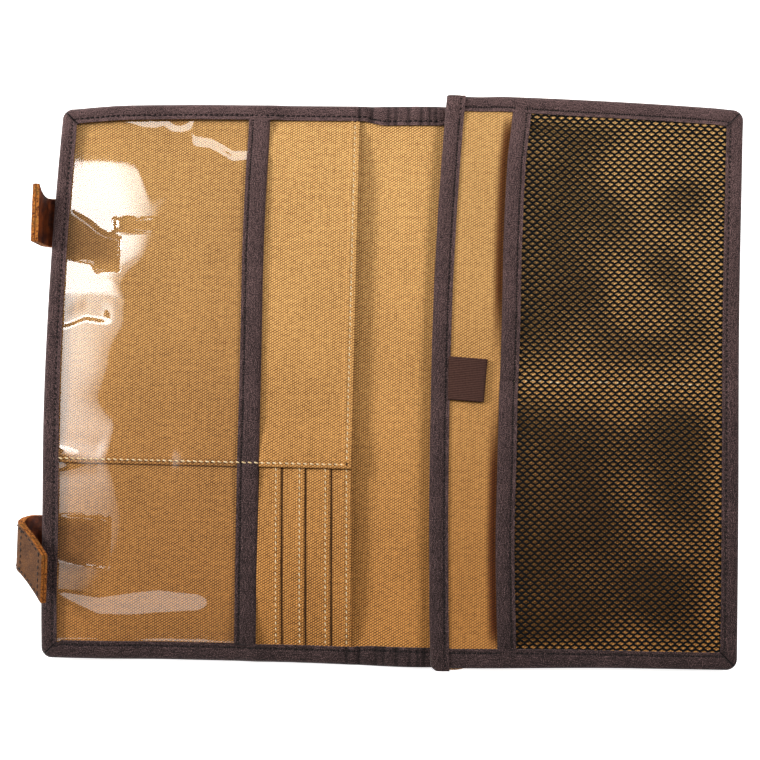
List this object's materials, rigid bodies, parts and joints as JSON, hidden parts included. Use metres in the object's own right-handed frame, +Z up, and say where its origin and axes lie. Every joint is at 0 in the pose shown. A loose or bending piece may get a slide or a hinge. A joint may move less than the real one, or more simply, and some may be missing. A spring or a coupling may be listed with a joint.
{
  "type": "logbook case",
  "caption": "Folding canvas logbook case lying open, with taped edges, a clear window pocket, card slots, a slip pocket, a net pocket, an elastic loop and leather closing straps.",
  "frame": {"origin": "on the surface the case lies on, under the middle of its box", "axes": "+X across the open case towards the net pocket, +Y towards its head, +Z up"},
  "size_m": [0.39, 0.3094, 0.0253],
  "materials": {
    "canvas": "plain woven cotton canvas, tan",
    "tape": "woven binding tape, dark brown",
    "vinyl": "clear soft vinyl sheet, glossy",
    "net": "knitted net, near black",
    "elastic": "ribbed woven elastic, dark brown",
    "leather": "oiled leather, brown, raw edges"
  },
  "bodies": {
    "root": {"outer_shell": "canvas", "shell_binding": "tape", "document_panel": "canvas", "card_panel": "canvas", "card_slot_1": "canvas", "card_slot_2": "canvas", "card_slot_3": "canvas", "clear_window": "vinyl", "window_tape": "tape", "slip_panel": "canvas", "slip_tape": "tape", "leaf_binding": "tape", "pocket_gusset": "canvas", "net_pocket": "net", "net_tape": "tape", "elastic_tab": "elastic", "strap_upper": "leather", "strap_lower": "leather"}
  },
  "joints": []
}
